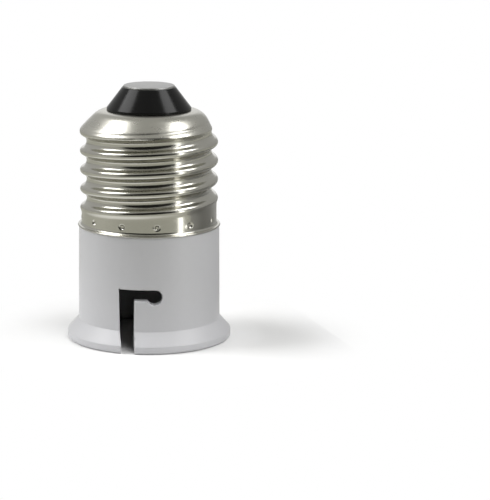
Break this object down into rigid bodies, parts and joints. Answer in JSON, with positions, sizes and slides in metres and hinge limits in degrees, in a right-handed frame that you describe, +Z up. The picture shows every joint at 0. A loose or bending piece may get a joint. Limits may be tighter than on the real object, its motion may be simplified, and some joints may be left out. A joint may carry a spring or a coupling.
{
  "type": "lamp socket adapter",
  "caption": "Adapter with an E27 screw cap on top and a B22d bayonet lamp socket below, with J slots, a flared rim and sprung contacts.",
  "frame": {"origin": "middle of the mouth face, at the bottom of the adapter as it stands", "axes": "+Z up along the axis, from the mouth of the bayonet socket to the centre contact of the screw cap; the round seats of the bayonet slots lie on -Y and +Y, the two spring contacts on -X and +X"},
  "size_m": [0.0312, 0.0312, 0.0485],
  "materials": {
    "housing_plastic": "moulded, satin",
    "block_plastic": "moulded, matt",
    "nickel_plate": "bright nickel plate",
    "tip_plastic": "moulded, glossy",
    "contact_plate": "dull nickel plate",
    "solder": "solidified solder",
    "tinned_wire": "tinned",
    "sleeve_white": "woven sleeving",
    "brass": "turned",
    "plunger_brass": "turned, polished tip",
    "spring_wire": "drawn"
  },
  "bodies": {
    "adapter": {"housing": "housing_plastic", "contact_block": "block_plastic", "screw_shell": "nickel_plate", "tip_insulator": "tip_plastic", "centre_contact": "contact_plate", "centre_solder": "solder", "centre_wire": "tinned_wire", "centre_sleeve": "sleeve_white", "shell_wire": "tinned_wire", "shell_sleeve": "sleeve_white", "barrel_left": "brass", "barrel_plug_left": "brass", "barrel_solder_left": "solder", "spring_left": "spring_wire", "barrel_right": "brass", "barrel_plug_right": "brass", "barrel_solder_right": "solder", "spring_right": "spring_wire"},
    "plunger_left": {"plunger_left": "plunger_brass"},
    "plunger_right": {"plunger_right": "plunger_brass"}
  },
  "joints": [
    {"name": "plunger_left_slide", "type": "slide", "parent": "adapter", "child": "plunger_left", "axis": [0, 0, 1], "range_m": [0, 0.0031], "stiffness_N_per_m": 400, "springref_m": -0.003, "deforming": ["spring_left"]},
    {"name": "plunger_right_slide", "type": "slide", "parent": "adapter", "child": "plunger_right", "axis": [0, 0, 1], "range_m": [0, 0.0031], "stiffness_N_per_m": 400, "springref_m": -0.003, "deforming": ["spring_right"]}
  ]
}
